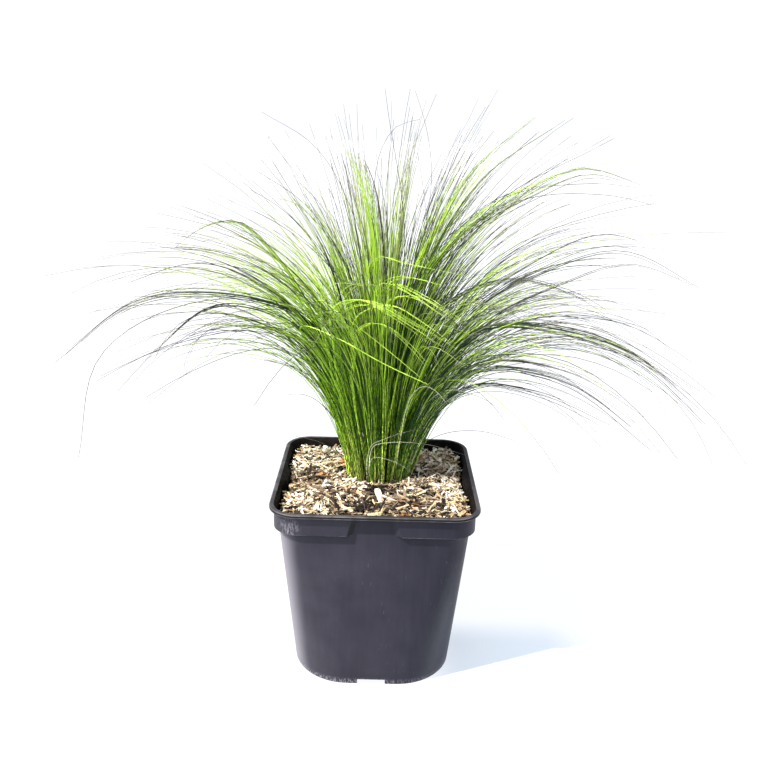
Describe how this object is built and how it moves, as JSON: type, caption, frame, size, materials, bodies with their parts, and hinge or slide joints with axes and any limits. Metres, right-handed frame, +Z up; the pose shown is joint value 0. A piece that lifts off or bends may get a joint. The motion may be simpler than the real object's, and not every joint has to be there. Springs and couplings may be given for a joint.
{
  "type": "potted feather grass",
  "caption": "Tuft of hair-fine arching grass in a square black plastic nursery pot, mulched with wood chips.",
  "frame": {"origin": "centre of the pot's footprint, on the ground", "axes": "+Z up out of the pot, -Y towards the side that the picture shows, +X to that side's right"},
  "size_m": [0.4234, 0.3669, 0.368],
  "materials": {
    "black_plastic": "satin",
    "potting_mix": "matte",
    "chipped_wood": "matte",
    "pale_wood": "matte",
    "leaf_green": "matte"
  },
  "bodies": {
    "root": {"back_chip": "pale_wood", "bark_chip": "pale_wood", "corner_chip": "pale_wood", "front_chip": "pale_wood", "heart_sheaf_01": "leaf_green", "heart_sheaf_02": "leaf_green", "heart_sheaf_03": "leaf_green", "heart_sheaf_04": "leaf_green", "inner_sheaf_01": "leaf_green", "inner_sheaf_02": "leaf_green", "inner_sheaf_03": "leaf_green", "inner_sheaf_04": "leaf_green", "inner_sheaf_05": "leaf_green", "inner_sheaf_06": "leaf_green", "inner_sheaf_07": "leaf_green", "inner_sheaf_08": "leaf_green", "inner_sheaf_09": "leaf_green", "middle_sheaf_01": "leaf_green", "middle_sheaf_02": "leaf_green", "middle_sheaf_03": "leaf_green", "middle_sheaf_04": "leaf_green", "middle_sheaf_05": "leaf_green", "middle_sheaf_06": "leaf_green", "middle_sheaf_07": "leaf_green", "middle_sheaf_08": "leaf_green", "middle_sheaf_09": "leaf_green", "middle_sheaf_10": "leaf_green", "middle_sheaf_11": "leaf_green", "middle_sheaf_12": "leaf_green", "middle_sheaf_13": "leaf_green", "middle_sheaf_14": "leaf_green", "mulch": "chipped_wood", "pale_chip": "pale_wood", "pink_chip": "pale_wood", "pot": "black_plastic", "potting_mix": "potting_mix", "skirt_sheaf_01": "leaf_green", "skirt_sheaf_02": "leaf_green", "skirt_sheaf_03": "leaf_green", "skirt_sheaf_04": "leaf_green", "skirt_sheaf_05": "leaf_green", "skirt_sheaf_06": "leaf_green", "skirt_sheaf_07": "leaf_green", "skirt_sheaf_08": "leaf_green", "skirt_sheaf_09": "leaf_green", "skirt_sheaf_10": "leaf_green", "skirt_sheaf_11": "leaf_green", "skirt_sheaf_12": "leaf_green", "skirt_sheaf_13": "leaf_green", "skirt_sheaf_14": "leaf_green", "skirt_sheaf_15": "leaf_green", "skirt_sheaf_16": "leaf_green", "skirt_sheaf_17": "leaf_green", "skirt_sheaf_18": "leaf_green", "skirt_sheaf_19": "leaf_green", "skirt_sheaf_20": "leaf_green", "split_chip": "pale_wood", "upright_chip": "pale_wood"}
  },
  "joints": []
}
